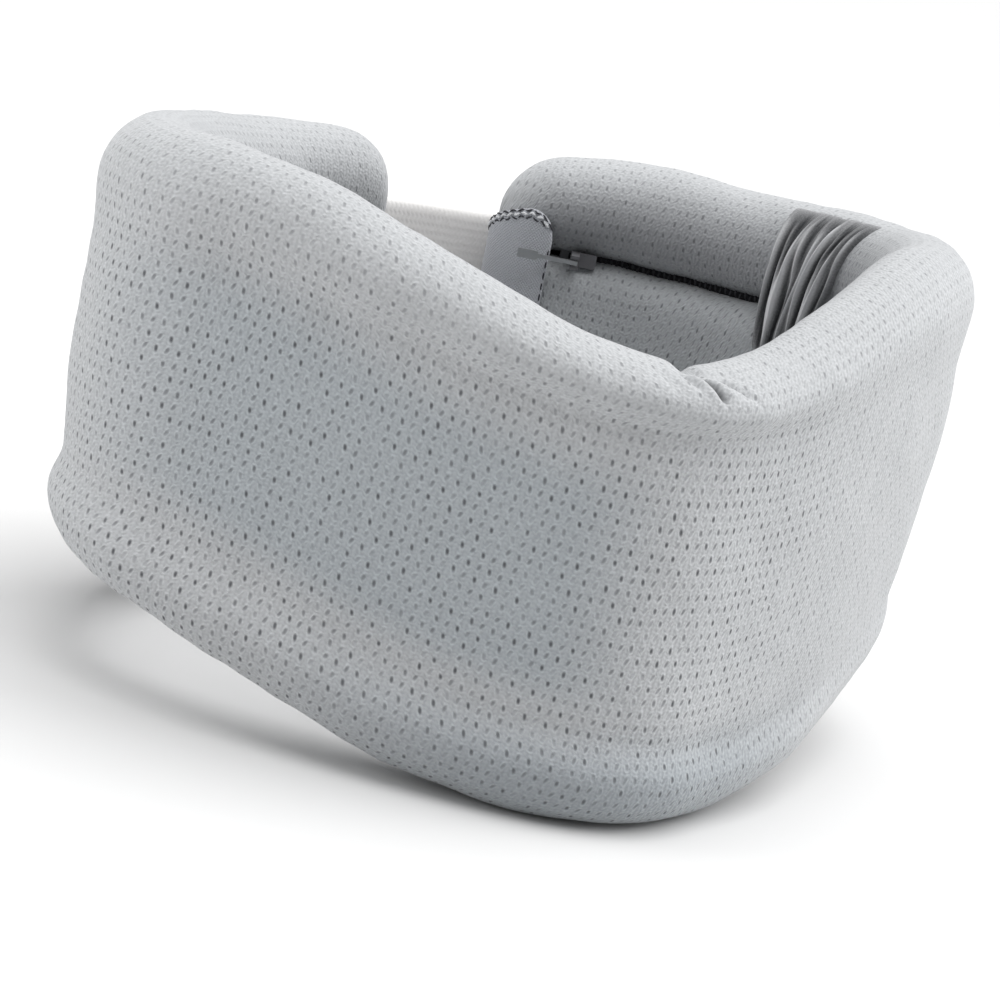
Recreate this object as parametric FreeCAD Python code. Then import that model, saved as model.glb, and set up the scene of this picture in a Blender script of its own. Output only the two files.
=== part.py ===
import FreeCAD, Part
import math
import os

# Soft cervical collar: a C-shaped foam band in a knitted cover, closed at the back by a
# hook-and-loop strap. Millimetres, +Z up. The front (chin) faces -Y and the neck passes
# along Z. The origin is at the middle of the footprint, on the surface it stands on.
#
# Left and right are as seen from in front of the collar: right is +X.
#
# Everything is built along one plan curve, which runs through the middle of the foam.
# s is the length along that curve from the front centre, positive towards +X. On each
# section across the curve, n points out of the collar and z points up.

# Driving dimensions: plan curve of one half, as four tangent arcs (radius, turn in degrees)
NOSE_RADIUS = 20.0
NOSE_TURN = 29.0
FLANK_RADIUS = 215.0
FLANK_TURN = 19.0
CORNER_RADIUS = 31.0
CORNER_TURN = 65.0
BACK_TURN = 180.0 - NOSE_TURN - FLANK_TURN - CORNER_TURN
END_GAP = 25.0              # between the two arm ends at the back

# Driving dimensions: heights of the top and bottom edges
TOP_FRONT = 79.0            # chin notch
TOP_SIDE = 97.0
TOP_END = 92.0
TOP_PEAK = 0.85             # where the top edge is highest, as a share of the way to the flex line
BOTTOM_PEAK = 1.1           # the same for the bottom edge
BOTTOM_SIDE = 18.0          # raised over the shoulders, 0 at the front and at the arm ends
FRONT_FOOT = 14.0           # half length of the straight bottom edge at the front
END_FOOT = 30.0             # length of the straight bottom edge at each arm end

# Driving dimensions: section
HALF_THICK = 10.0           # of the top and bottom rolls
FRONT_WAIST = 8.0           # outer half thickness between the rolls, at the front
BACK_WAIST = 9.6            # the same at the arms' ends
INNER_WAIST = 9.8           # inner half thickness below the groove
BOTTOM_ROLL = 20.0          # height of the bottom roll
FABRIC = 1.2                # thickness of the spacer knit
EASE = 0.5                  # space between the knit and the foam
END_ROUND = 12.0            # rounding of the arm ends
FOOT_TRIM = 0.5             # how much the rolls are flattened where the collar stands

# Driving dimensions: groove on the inner face, and the zip in it (right arm only)
GROOVE_FRONT = 58.0         # height of the groove at the front centre
GROOVE_BACK = 74.0          # and all along both arms
GROOVE_HALF = 1.2           # half the groove's width where the zip tape closes it

# Driving dimensions: strap
STRAP_LOW = 27.0
STRAP_HIGH = 77.0
STRAP_THICK = 1.3
STRAP_INNER = 10.6          # offset of the strap's inner face where it is sewn on
STRAP_LIFT = 1.95           # further out over the hook-and-loop patches
PATCH_THICK = 0.75
SEWN_LENGTH = 22.0          # of the strap end sewn to the right arm
STRAP_START = 7.0           # free strap starts this far short of the right arm's end
STRAP_REACH = 50.0          # how far it reaches along the left arm
TIP_LENGTH = 13.0
FLEX_GAP = 1.0              # between the foam blocks at each flex line
PIVOT_GAP = 0.8             # between the parts on either side of a strap fold

# Driving dimensions: stiffening plates, stitches, and the tab on the right arm's inner end
PLATE_THICK = 1.2
STITCH_THICK = 0.4
STITCH_WIDE = 0.6
TAB_LENGTH = 12.5
TAB_THICK = 0.9
TAB_LOW = 22.0
TAB_TOP_DROP = 9.0          # below the top edge
TAB_ROUND = 6.0

# Driving dimensions: zip slider and pull
SLIDER_LONG = 5.2
SLIDER_HALF = 1.4           # half height of the slider's plate
STOP_LONG = 1.8
PULL_PIVOT = -1.6           # along the slider, towards the arm's end
PULL_LONG = 11.0
PULL_HALF = 0.4             # half height of the pull's shank
PULL_TIP_HALF = 0.9         # and of its end
PULL_NEAR = -13.0           # offset of the pull's two faces, clear of the tab's edge on its way
PULL_FAR = -13.8


def plan_arcs():
    """Arcs of one half: (start s, start x, start y, start heading, radius, length)."""
    turns = [math.radians(t) for t in (NOSE_TURN, FLANK_TURN, CORNER_TURN, BACK_TURN)]
    radii = [NOSE_RADIUS, FLANK_RADIUS, CORNER_RADIUS]
    heading = 0.0
    x = 0.0
    for radius, turn in zip(radii, turns):
        x += radius * (math.sin(heading + turn) - math.sin(heading))
        heading += turn
    radii.append(x / math.sin(heading))
    arcs = []
    s = x = y = heading = 0.0
    for radius, turn in zip(radii, turns):
        arcs.append((s, x, y, heading, radius, radius * turn))
        x += radius * (math.sin(heading + turn) - math.sin(heading))
        y += radius * (math.cos(heading) - math.cos(heading + turn))
        s += radius * turn
        heading += turn
    return arcs, s, y


ARCS, HALF_LENGTH, DEPTH = plan_arcs()
ARM_END = HALF_LENGTH - END_GAP / 2
CORNER_START = ARCS[2][0]
BACK_START = ARCS[3][0]
BACK_RADIUS = ARCS[3][4]
FLEX = (CORNER_START + BACK_START) / 2          # s of the flex line at each side
OUTERMOST = STRAP_INNER + STRAP_LIFT + STRAP_THICK + 0.4
Y_SHIFT = (HALF_THICK - (DEPTH + OUTERMOST)) / 2    # puts the footprint's middle at the origin

# The zip runs round the back arc of the right arm; its slider turns about that arc's centre
ZIP_START = BACK_START - 4.0
ZIP_END = ARM_END - TAB_LENGTH - 1.0
SLIDER_AT = ZIP_END - 2.4 - SLIDER_LONG / 2

# Positions along the strap, counted on through the back centre onto the left arm
FREE_START = ARM_END - STRAP_START
LEFT_END = 2 * HALF_LENGTH - ARM_END
FREE_END = LEFT_END + STRAP_REACH
PATCH_START = LEFT_END + 8.0
SEWN_START = FREE_START - PIVOT_GAP - SEWN_LENGTH


def plan_at(s):
    """Point on the plan curve and its outward direction; s may run past the back centre."""
    side = 1.0 if s >= 0 else -1.0
    along = abs(s)
    if along > HALF_LENGTH:
        along = 2 * HALF_LENGTH - along
        side = -side
    for start, x0, y0, heading0, radius, length in reversed(ARCS):
        if along >= start:
            break
    heading = heading0 + (along - start) / radius
    x = x0 + radius * (math.sin(heading) - math.sin(heading0))
    y = y0 + radius * (math.cos(heading0) - math.cos(heading))
    return side * x, y + Y_SHIFT, side * math.sin(heading), -math.cos(heading)


def point(s, n, z):
    x, y, nx, ny = plan_at(s)
    return FreeCAD.Vector(x + nx * n, y + ny * n, z)


def ease(t):
    t = min(max(t, 0.0), 1.0)
    return t * t * (3 - 2 * t)


def blend(a, b, t):
    return a + (b - a) * ease(t)


def end_shrink(s):
    """0 along the band, rising to 1 at an arm's end along a quarter ellipse."""
    t = min(max((abs(s) - (ARM_END - END_ROUND)) / END_ROUND, 0.0), 1.0)
    return 1 - math.sqrt(1 - t * t)


def top(s):
    along = abs(s)
    peak = TOP_PEAK * FLEX
    if along < peak:
        height = blend(TOP_FRONT, TOP_SIDE, along / peak)
    else:
        height = blend(TOP_SIDE, TOP_END, (along - peak) / (ARM_END - peak))
    return height - END_ROUND * end_shrink(s)


def bottom(s):
    along = abs(s)
    peak = BOTTOM_PEAK * FLEX
    if along < peak:
        height = blend(0.0, BOTTOM_SIDE, (along - FRONT_FOOT) / (peak - FRONT_FOOT))
    else:
        height = blend(BOTTOM_SIDE, 0.0, (along - peak) / (ARM_END - END_FOOT - peak))
    return height - FOOT_TRIM + 0.7 * END_ROUND * end_shrink(s)


def groove(s):
    """Height of the groove: level along the arms, so that a slider can turn in it."""
    return blend(GROOVE_FRONT, GROOVE_BACK, abs(s) / FLEX) - 0.6 * END_ROUND * end_shrink(s)


def roll(s):
    return HALF_THICK * (1 - 0.45 * end_shrink(s))


def outer_waist(s):
    return blend(FRONT_WAIST, BACK_WAIST, abs(s) / ARM_END) * (1 - 0.45 * end_shrink(s))


def inner_waist(s):
    return INNER_WAIST * (1 - 0.45 * end_shrink(s))


def ellipse(centre_n, centre_z, half_n, half_z, degrees):
    a = math.radians(degrees)
    return centre_n + half_n * math.cos(a), centre_z + half_z * math.sin(a)


def cover_path(s):
    """Outside of the cover: from the groove over the top, down the outside, under and up."""
    half = roll(s)
    tall = (top(s) - groove(s)) / 2
    middle = (top(s) + groove(s)) / 2
    low = bottom(s)
    low_tall = BOTTOM_ROLL / 2
    waist = outer_waist(s)
    lip = 180 + math.degrees(math.asin(1 - GROOVE_HALF / tall))
    path = [ellipse(0, middle, half, tall, a) for a in (lip, 215, 180, 135, 90, 45, 0, -32)]
    path += [(waist, groove(s) - 2)]
    path += [(waist, low + BOTTOM_ROLL)]
    path += [ellipse(0, low + low_tall, half, low_tall, a) for a in (0, -45, -90, -135, -180)]
    path += [(-inner_waist(s), low + BOTTOM_ROLL - 4)]
    return path


COVER_BREAKS = (8, 9)       # the straight wall between the rolls


def lining_path(s):
    """Outside of the lining, below the groove on the inner face."""
    tall = (top(s) - groove(s)) / 2
    waist = -inner_waist(s)
    lip = -roll(s) * math.sqrt(1 - (1 - GROOVE_HALF / tall) ** 2)
    high = groove(s)
    return [
        (lip, high - GROOVE_HALF),
        (0.8 * waist, high - 0.35 * tall),
        (0.96 * waist, high - 0.7 * tall),
        (waist, high - 1.1 * tall),
        (waist, bottom(s) + BOTTOM_ROLL - 4 + EASE),
    ]


LINING_BREAKS = (3,)        # the straight wall below the curve into the groove


def inset(path, depth):
    """The path moved by depth to its right, which is into the foam."""
    moved = []
    for i, (n, z) in enumerate(path):
        before = path[max(i - 1, 0)]
        after = path[min(i + 1, len(path) - 1)]
        dn = after[0] - before[0]
        dz = after[1] - before[1]
        size = math.hypot(dn, dz)
        moved.append((n + depth * dz / size, z - depth * dn / size))
    return moved


def split(path, breaks):
    """The path cut at the numbered points, which both neighbours keep."""
    cuts = [0, *breaks, len(path) - 1]
    return [path[a:b + 1] for a, b in zip(cuts, cuts[1:])]


def curve(s, path):
    points = [point(s, n, z) for n, z in path]
    if len(points) == 2:
        return Part.makeLine(points[0], points[1])
    spline = Part.BSplineCurve()
    spline.interpolate(points)
    return spline.toShape()


def outline(s, paths):
    """Closed wire on the section at s, from paths that follow each other end to end."""
    return Part.Wire([curve(s, path) for path in paths])


def band(s, path, depth, breaks):
    """Section of a skin: the path and its inset, joined at both ends."""
    moved = inset(path, depth)
    back = [list(reversed(piece)) for piece in reversed(split(moved, breaks))]
    ends = [[path[-1], moved[-1]], [moved[0], path[0]]]
    return outline(s, split(path, breaks) + ends[:1] + back + ends[1:])


def oval(s, centre_n, centre_z, half_n, half_z):
    quarters = []
    for start in (0, 90, 180, 270):
        turns = (start, start + 30, start + 60, start + 90)
        quarters.append([ellipse(centre_n, centre_z, half_n, half_z, a) for a in turns])
    return outline(s, quarters)


def polygon(s, corners):
    closed = corners + corners[:1]
    return outline(s, [list(pair) for pair in zip(closed, closed[1:])])


def loft(stations, section):
    return Part.makeLoft([section(s) for s in stations], True, False)


def spread(start, end, count):
    return [start + (end - start) * i / count for i in range(count + 1)]


def front_stations():
    """Sections from the left flex line to the right one, closer together at the nose."""
    half = spread(0, CORNER_START * 0.12, 2)[1:] + spread(CORNER_START * 0.3, CORNER_START, 3)
    half += spread(CORNER_START, FLEX - FLEX_GAP / 2, 2)[1:]
    return [-s for s in reversed(half)] + [0.0] + half


def arm_stations(side, end_margin):
    """Sections of an arm from its flex line to its end, closer together at the rounding."""
    start = FLEX + FLEX_GAP / 2
    round_start = ARM_END - END_ROUND
    stations = spread(start, BACK_START, 2) + spread(BACK_START, round_start, 6)[1:]
    stations += [round_start + (END_ROUND - end_margin) * t for t in (0.35, 0.65, 0.88, 1.0)]
    return [side * s for s in stations]


def above_ground(shape):
    """Flattens the underside where the collar stands, at z = 0."""
    block = Part.makeBox(400, 400, 200, FreeCAD.Vector(-200, -200, 0))
    return shape.common(block).Solids[0]


def cover_section(s):
    return band(s, cover_path(s), FABRIC, COVER_BREAKS)


def lining_section(s):
    return band(s, lining_path(s), -FABRIC, LINING_BREAKS)


def top_roll_section(s):
    room = FABRIC + EASE
    tall = (top(s) - groove(s)) / 2
    return oval(s, 0, (top(s) + groove(s)) / 2, roll(s) - room, tall - room)


def bottom_roll_section(s):
    room = FABRIC + EASE
    tall = BOTTOM_ROLL / 2
    return oval(s, 0, bottom(s) + tall, roll(s) - room, tall - room)


def core_section(s):
    inner = -(inner_waist(s) - FABRIC - EASE)
    outer = outer_waist(s) - FABRIC - PLATE_THICK - 3 * EASE
    high = groove(s) - 3.2
    low = bottom(s) + BOTTOM_ROLL
    tall = (top(s) - groove(s)) / 2
    corners = [(inner, low), (outer, low), (outer, high), (inner / 3, high)]
    corners += [(0.62 * inner, high - 0.25 * tall), (inner, high - 0.8 * tall)]
    return polygon(s, corners)


def slab_section(s, inner, thick, low, high):
    return polygon(s, [(inner, low), (inner + thick, low), (inner + thick, high), (inner, high)])


def plate_section(s):
    inner = outer_waist(s) - FABRIC - EASE - PLATE_THICK
    return slab_section(s, inner, PLATE_THICK, bottom(s) + BOTTOM_ROLL + 3, groove(s) - 6)


def make_segment(name, stations, foam_stations, plate_stations):
    """The sewn and foam layers that every segment of the band has."""
    return {
        name + "_cover": above_ground(loft(stations, cover_section)),
        name + "_lining": loft(stations, lining_section),
        name + "_top_roll": loft(foam_stations, top_roll_section),
        name + "_core_pad": loft(foam_stations, core_section),
        name + "_bottom_roll": loft(foam_stations, bottom_roll_section),
        name + "_support_plate": loft(plate_stations, plate_section),
    }


def make_end_gusset(side):
    """Knit panel that closes the cover at an arm's end."""
    def section(s):
        half = roll(s)
        low = bottom(s)
        high = top(s)
        cut = 0.45 * half
        return polygon(s, [(-half, low + cut), (-half + cut, low), (half - cut, low),
                           (half, low + cut), (half, high - cut), (half - cut, high),
                           (-half + cut, high), (-half, high - cut)])
    return loft([side * (ARM_END - FABRIC + 0.1), side * ARM_END], section)


def tab_inner(s):
    return -(roll(s) + 0.3 + TAB_THICK)


def tab_high(s):
    """Upper edge of the tab, rounded down at the corner away from the arm's end."""
    from_edge = s - (ARM_END - TAB_LENGTH)
    t = max(1 - from_edge / TAB_ROUND, 0.0)
    return top(s) - TAB_TOP_DROP * (1 - end_shrink(s)) - TAB_ROUND * (1 - math.sqrt(1 - t * t))


def tab_stations():
    start = ARM_END - TAB_LENGTH
    return [start + d for d in (0.15, 0.8, 2.0, 3.8, 6.0, 8.0, 10.0, 11.5)]


def make_end_tab():
    def section(s):
        return slab_section(s, tab_inner(s), TAB_THICK, TAB_LOW, tab_high(s))
    return loft(tab_stations(), section)


def stitch(s, n, z, along, up):
    """One stitch: a small bar centred on s and z, with its face at n."""
    x, y, nx, ny = plan_at(s)
    bar = Part.makeBox(along, STITCH_THICK, up, FreeCAD.Vector(-along / 2, 0, -up / 2))
    turn = math.degrees(math.atan2(ny, nx)) - 90
    bar.rotate(FreeCAD.Vector(0, 0, 0), FreeCAD.Vector(0, 0, 1), turn)
    bar.translate(point(s, n, z))
    return bar


def stitch_frame(start, end, low, high, face, pitch=4.0, length=2.6):
    """Stitches round a rectangle; face gives the offset of the surface they lie on."""
    bars = []
    columns = int((end - start) / pitch)
    for i in range(columns):
        s = start + (i + 0.5) * (end - start) / columns
        bars += [stitch(s, face(s), z, length, STITCH_WIDE) for z in (low, high)]
    rows = int((high - low) / pitch)
    for i in range(rows):
        z = low + (i + 0.5) * (high - low) / rows
        bars += [stitch(s, face(s), z, STITCH_WIDE, length) for s in (start, end)]
    return Part.makeCompound(bars)


def make_tab_stitching():
    """Overlocked edge along the top and the free side of the end tab."""
    bars = []
    lift = STITCH_THICK + 0.4
    start = ARM_END - TAB_LENGTH
    for i in range(5):
        s = start + 2.5 + 2.0 * i
        bars.append(stitch(s, tab_inner(s) - lift, tab_high(s) - 0.9, 1.2, 0.8))
    rows = 12
    for i in range(rows):
        z = TAB_LOW + 3 + i * 3.4
        s = start + 1.1
        bars.append(stitch(s, tab_inner(s) - lift, z, 0.8, 2.2))
    return Part.makeCompound(bars)


def zip_strip(inner, thick, half_tall, start, end, count):
    def section(s):
        return slab_section(s, inner, thick, groove(s) - half_tall, groove(s) + half_tall)
    return loft(spread(start, end, count), section)


def make_zip():
    stops = [zip_strip(-4.6, 1.3, 1.1, s, s + STOP_LONG, 1)
             for s in (ZIP_START, ZIP_END - STOP_LONG)]
    return {
        "zip_tape": zip_strip(-3.2, 0.6, 1.7, ZIP_START, ZIP_END, 6),
        "zip_coil": zip_strip(-4.0, 0.7, 0.8, ZIP_START + 2.2, ZIP_END - 2.2, 6),
        "zip_stops": Part.makeCompound(stops),
    }


def slider_box(along, half_long, inner, outer, half_tall):
    """A block on the groove's line, turned with the plan curve; along runs to the flex line."""
    x, y, nx, ny = plan_at(SLIDER_AT)
    block = Part.makeBox(2 * half_long, outer - inner, 2 * half_tall,
                         FreeCAD.Vector(along - half_long, inner, -half_tall))
    block.rotate(FreeCAD.Vector(0, 0, 0), FreeCAD.Vector(0, 0, 1),
                 math.degrees(math.atan2(ny, nx)) - 90)
    block.translate(point(SLIDER_AT, 0, groove(SLIDER_AT)))
    return block


def make_slider():
    """Slider: a neck in the groove, a plate across it and two lugs that hold the pull."""
    half = SLIDER_LONG / 2
    body = slider_box(0, half - 0.8, -7.5, -4.4, 0.7)
    body = body.fuse(slider_box(0, half, -8.6, -7.4, SLIDER_HALF))
    for step in (-1, 1):
        lug = slider_box(PULL_PIVOT, 0.8, PULL_FAR + 0.2, -8.5, 0.3)
        lug.translate(FreeCAD.Vector(0, 0, step * (SLIDER_HALF - 0.3)))
        body = body.fuse(lug)
    return body.removeSplitter().Solids[0]


def make_pull():
    """Pull: a slim bar lying along the groove, rounded at its free end."""
    middle = PULL_PIVOT - PULL_LONG / 2 + 0.6
    bar = slider_box(middle, PULL_LONG / 2, PULL_FAR, PULL_NEAR, PULL_HALF)
    tip = slider_box(PULL_PIVOT - PULL_LONG + 1.6, 2.0, PULL_FAR, PULL_NEAR, PULL_TIP_HALF)
    return bar.fuse(tip).removeSplitter().Solids[0]


def strap_inner(s):
    """The strap's inner face: on the right arm, then further out over the left arm."""
    return STRAP_INNER + STRAP_LIFT * ease((s - ARM_END) / END_GAP)


def strap_strip(start, end, low, high, inset_n=0.0, thick=STRAP_THICK, count=8):
    def section(s):
        return slab_section(s, strap_inner(s) + inset_n, thick, low, high)
    return loft(spread(start, end, count), section)


def make_strap():
    tip_start = FREE_END + PIVOT_GAP
    sewn_end = FREE_START - PIVOT_GAP
    patch_gap = 0.05
    middle = (STRAP_LOW + STRAP_HIGH) / 2

    def loop_section(s):
        return slab_section(s, HALF_THICK + 0.2, PATCH_THICK, STRAP_LOW + 2, STRAP_HIGH - 2)

    def outer_face(s):
        return strap_inner(s) + STRAP_THICK + 0.05

    def loop_face(s):
        return HALF_THICK + 0.2 + PATCH_THICK + 0.02

    tip_half = 13.0
    return {
        "strap_anchor": strap_strip(SEWN_START, sewn_end, STRAP_LOW, STRAP_HIGH, count=3),
        "anchor_stitching": stitch_frame(SEWN_START + 3, sewn_end - 3, STRAP_LOW + 4,
                                         STRAP_HIGH - 4, outer_face),
        "strap_web": strap_strip(FREE_START, FREE_END, STRAP_LOW, STRAP_HIGH),
        "hook_patch": strap_strip(PATCH_START, FREE_END - 2, STRAP_LOW + 3, STRAP_HIGH - 3,
                                  -PATCH_THICK - patch_gap, PATCH_THICK, 4),
        "patch_stitching": stitch_frame(PATCH_START + 3, FREE_END - 4, STRAP_LOW + 4,
                                        STRAP_HIGH - 4, outer_face),
        "strap_tip": strap_strip(tip_start, tip_start + TIP_LENGTH, middle - tip_half,
                                 middle + tip_half, 0.0, STRAP_THICK, 2),
        "loop_patch": loft(spread(-(ARM_END - 58), -(ARM_END - END_ROUND - 1), 4),
                           loop_section),
        "loop_patch_stitching": stitch_frame(-(ARM_END - 56), -(ARM_END - END_ROUND - 3),
                                             STRAP_LOW + 3, STRAP_HIGH - 3, loop_face,
                                             5.0, 2.6),
    }


def make_parts():
    parts = {}
    front = front_stations()
    reach = 0.8 * CORNER_START
    parts.update(make_segment("front", front, front, spread(-reach, reach, 14)))
    for name, side in (("left", -1), ("right", 1)):
        foam = arm_stations(side, 2 * FABRIC + EASE)
        plate = [s for s in foam if CORNER_START + 8 < abs(s) < ARM_END - END_ROUND + 1]
        parts.update(make_segment(name, arm_stations(side, FABRIC), foam, plate))
        parts[name + "_end_gusset"] = make_end_gusset(side)
    parts["right_end_tab"] = make_end_tab()
    parts["right_tab_stitching"] = make_tab_stitching()
    parts.update(make_zip())
    parts["zip_slider"] = make_slider()
    parts["zip_pull"] = make_pull()
    parts.update(make_strap())
    return parts


def print_axes():
    """Places in metres for the record: each vertical joint axis, and the front foot."""
    centre_y = DEPTH - BACK_RADIUS + Y_SHIFT
    x, y, nx, ny = plan_at(SLIDER_AT)
    towards_flex = FreeCAD.Vector(ny, -nx, 0)
    pivot = point(SLIDER_AT, (PULL_NEAR + PULL_FAR) / 2, GROOVE_BACK)
    outer = STRAP_INNER + STRAP_THICK + 0.3
    places = {
        "left_flex": point(-FLEX, HALF_THICK + 1.0, 0),
        "right_flex": point(FLEX, HALF_THICK + 1.0, 0),
        "strap_fold": point(FREE_START - PIVOT_GAP / 2, outer, 0),
        "tip_fold": point(FREE_END + PIVOT_GAP / 2, outer + STRAP_LIFT, 0),
        "zip_travel": FreeCAD.Vector(0, centre_y, GROOVE_BACK),
        "pull_swing": pivot + towards_flex * PULL_PIVOT,
        "front_foot": point(0, 0, 0),
    }
    for name, place in places.items():
        print(name, [round(v / 1000, 5) for v in place])


os.makedirs("parts", exist_ok=True)
for node, shape in make_parts().items():
    if not shape.isValid():
        print("not valid:", node)
    print(node, round(shape.Volume, 1))
    shape.exportStep("parts/" + node + ".step")
print_axes()
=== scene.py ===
import bpy
import math
import numpy as np
from mathutils import Matrix, Vector


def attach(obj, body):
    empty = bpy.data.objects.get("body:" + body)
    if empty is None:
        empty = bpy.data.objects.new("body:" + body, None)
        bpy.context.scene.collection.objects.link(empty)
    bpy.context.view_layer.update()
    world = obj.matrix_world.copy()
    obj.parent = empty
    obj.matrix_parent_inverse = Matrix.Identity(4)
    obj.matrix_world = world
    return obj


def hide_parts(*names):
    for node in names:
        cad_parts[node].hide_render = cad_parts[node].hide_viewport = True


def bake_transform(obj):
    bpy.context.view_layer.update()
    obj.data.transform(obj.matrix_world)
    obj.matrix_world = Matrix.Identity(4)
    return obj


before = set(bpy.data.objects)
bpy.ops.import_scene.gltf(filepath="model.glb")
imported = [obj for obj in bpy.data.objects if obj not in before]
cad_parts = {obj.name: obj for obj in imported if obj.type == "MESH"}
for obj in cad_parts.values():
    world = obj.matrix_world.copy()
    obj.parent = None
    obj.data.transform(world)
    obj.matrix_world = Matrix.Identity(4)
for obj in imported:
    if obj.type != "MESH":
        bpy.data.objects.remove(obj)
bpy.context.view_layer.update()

# The collar is a C-shaped padded band. Lengths below are in millimetres until a mesh is made.
# s is the length along the band's plan curve from the front centre (+X side positive), n is the
# offset out of the collar and z is the height, as in the CAD source.
MM = 0.001
TURN = 2 * math.pi

# Plan curve of one half: four tangent arcs
NOSE_RADIUS, NOSE_TURN = 20.0, 29.0
FLANK_RADIUS, FLANK_TURN = 215.0, 19.0
CORNER_RADIUS, CORNER_TURN = 31.0, 65.0
BACK_TURN = 180.0 - NOSE_TURN - FLANK_TURN - CORNER_TURN
END_GAP = 25.0

# Heights
TOP_FRONT, TOP_SIDE, TOP_END, TOP_PEAK = 79.0, 97.0, 92.0, 0.85
BOTTOM_SIDE, BOTTOM_PEAK, FRONT_FOOT, END_FOOT = 18.0, 1.1, 14.0, 30.0
FOOT_TRIM = 0.5
GROOVE_FRONT, GROOVE_BACK = 58.0, 74.0

# Section
HALF_THICK = 10.0
FRONT_WAIST, BACK_WAIST, INNER_WAIST = 8.0, 9.6, 9.8
BOTTOM_ROLL = 20.0
END_ROUND = 12.0
CREASE_FRONT, CREASE_SIDE = 11.0, 22.0     # from the top edge down to the crease under the roll
FULL_WALL = 9.5                            # offset of the wall where it has no crease
SINK_TOP, SINK_LOW = 1.6, 1.2              # depth of the two creases below the waist
PANEL_CROWN = 0.9                          # the panel bulges by this between them
RIGHT_TAPER = 2.6                          # the right side draws in towards its lower edge
SEAM_DROP, SEAM_IN = 3.5, 8.5              # where the lining meets the lower roll
LIP_DROP, PILLOW_ROUND = 0.7, 6.5          # the lining's rounded top, under the groove
LIP_ANGLE = 256                            # where the top roll ends in the groove, in degrees

# Strap and tab
STRAP_LOW, STRAP_HIGH, STRAP_THICK = 27.0, 77.0, 1.3
STRAP_INNER, STRAP_LIFT = 10.6, 1.95
PATCH_THICK, SEWN_LENGTH = 0.75, 22.0
STRAP_START, STRAP_REACH, PIVOT_GAP = 7.0, 50.0, 0.8
TIP_LENGTH, TIP_LOW, TIP_HIGH = 13.0, 39.0, 65.0
TAB_LENGTH, TAB_LOW, TAB_TOP_DROP = 12.5, 22.0, 9.0


# ---------------------------------------------------------------- plan curve and heights

def plan_arcs():
    """Arcs of one half, each (start s, start x, start y, start heading, radius); the half's
    length; and its depth."""
    turns = [math.radians(t) for t in (NOSE_TURN, FLANK_TURN, CORNER_TURN, BACK_TURN)]
    radii = [NOSE_RADIUS, FLANK_RADIUS, CORNER_RADIUS]
    heading = x = 0.0
    for radius, turn in zip(radii, turns):
        x += radius * (math.sin(heading + turn) - math.sin(heading))
        heading += turn
    radii.append(x / math.sin(heading))
    arcs = []
    s = x = y = heading = 0.0
    for radius, turn in zip(radii, turns):
        arcs.append((s, x, y, heading, radius))
        x += radius * (math.sin(heading + turn) - math.sin(heading))
        y += radius * (math.cos(heading) - math.cos(heading + turn))
        s += radius * turn
        heading += turn
    return arcs, s, y


ARCS, HALF_LENGTH, DEPTH = plan_arcs()
ARM_END = HALF_LENGTH - END_GAP / 2
CORNER_START, BACK_START = ARCS[2][0], ARCS[3][0]
FLEX = (CORNER_START + BACK_START) / 2
OUTERMOST = STRAP_INNER + STRAP_LIFT + STRAP_THICK + 0.4
Y_SHIFT = (HALF_THICK - (DEPTH + OUTERMOST)) / 2
ROUND_START = ARM_END - END_ROUND
FREE_START = ARM_END - STRAP_START
SEWN_END = FREE_START - PIVOT_GAP
SEWN_START = SEWN_END - SEWN_LENGTH
LEFT_END = 2 * HALF_LENGTH - ARM_END
FREE_END = LEFT_END + STRAP_REACH
PATCH_START = LEFT_END + 8.0


def plan(s):
    """Plan curve at an array of s: x, y, and the outward direction."""
    s = np.atleast_1d(np.asarray(s, float))
    side = np.where(s >= 0, 1.0, -1.0)
    along = np.abs(s)
    past = along > HALF_LENGTH
    along = np.where(past, 2 * HALF_LENGTH - along, along)
    side = np.where(past, -side, side)
    x, y, heading = np.zeros_like(s), np.zeros_like(s), np.zeros_like(s)
    for start, x0, y0, heading0, radius in ARCS:
        here = along >= start
        turned = heading0 + (along - start) / radius
        x = np.where(here, x0 + radius * (np.sin(turned) - math.sin(heading0)), x)
        y = np.where(here, y0 + radius * (math.cos(heading0) - np.cos(turned)), y)
        heading = np.where(here, turned, heading)
    return side * x, y + Y_SHIFT, side * np.sin(heading), -np.cos(heading)


def place(s, n, z):
    """Points in millimetres from arrays of s, n and z."""
    s, n, z = np.broadcast_arrays(*(np.asarray(a, float) for a in (s, n, z)))
    x, y, nx, ny = (a.reshape(s.shape) for a in plan(s.ravel()))
    return np.stack([x + nx * n, y + ny * n, z], axis=-1)


def ease(t):
    """Smooth step from 0 to 1."""
    t = np.clip(t, 0.0, 1.0)
    return t * t * (3 - 2 * t)


def mix(a, b, t):
    """From a to b, smoothly, as t goes from 0 to 1."""
    return a + (b - a) * ease(t)


def top(s):
    """Height of the band's top edge."""
    along, peak = np.abs(s), TOP_PEAK * FLEX
    return np.where(along < peak, mix(TOP_FRONT, TOP_SIDE, along / peak),
                    mix(TOP_SIDE, TOP_END, (along - peak) / (ARM_END - peak)))


def bottom(s):
    """Height of its lower edge: lowest at the chin and at the ends."""
    along, peak = np.abs(s), BOTTOM_PEAK * FLEX
    rise = mix(0.0, BOTTOM_SIDE, (along - FRONT_FOOT) / (peak - FRONT_FOOT))
    fall = mix(BOTTOM_SIDE, 0.0, (along - peak) / (ARM_END - END_FOOT - peak))
    return np.where(along < peak, rise, fall) - FOOT_TRIM


def groove(s):
    """Height of the groove on the inner face."""
    return mix(GROOVE_FRONT, GROOVE_BACK, np.abs(s) / FLEX)


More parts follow.
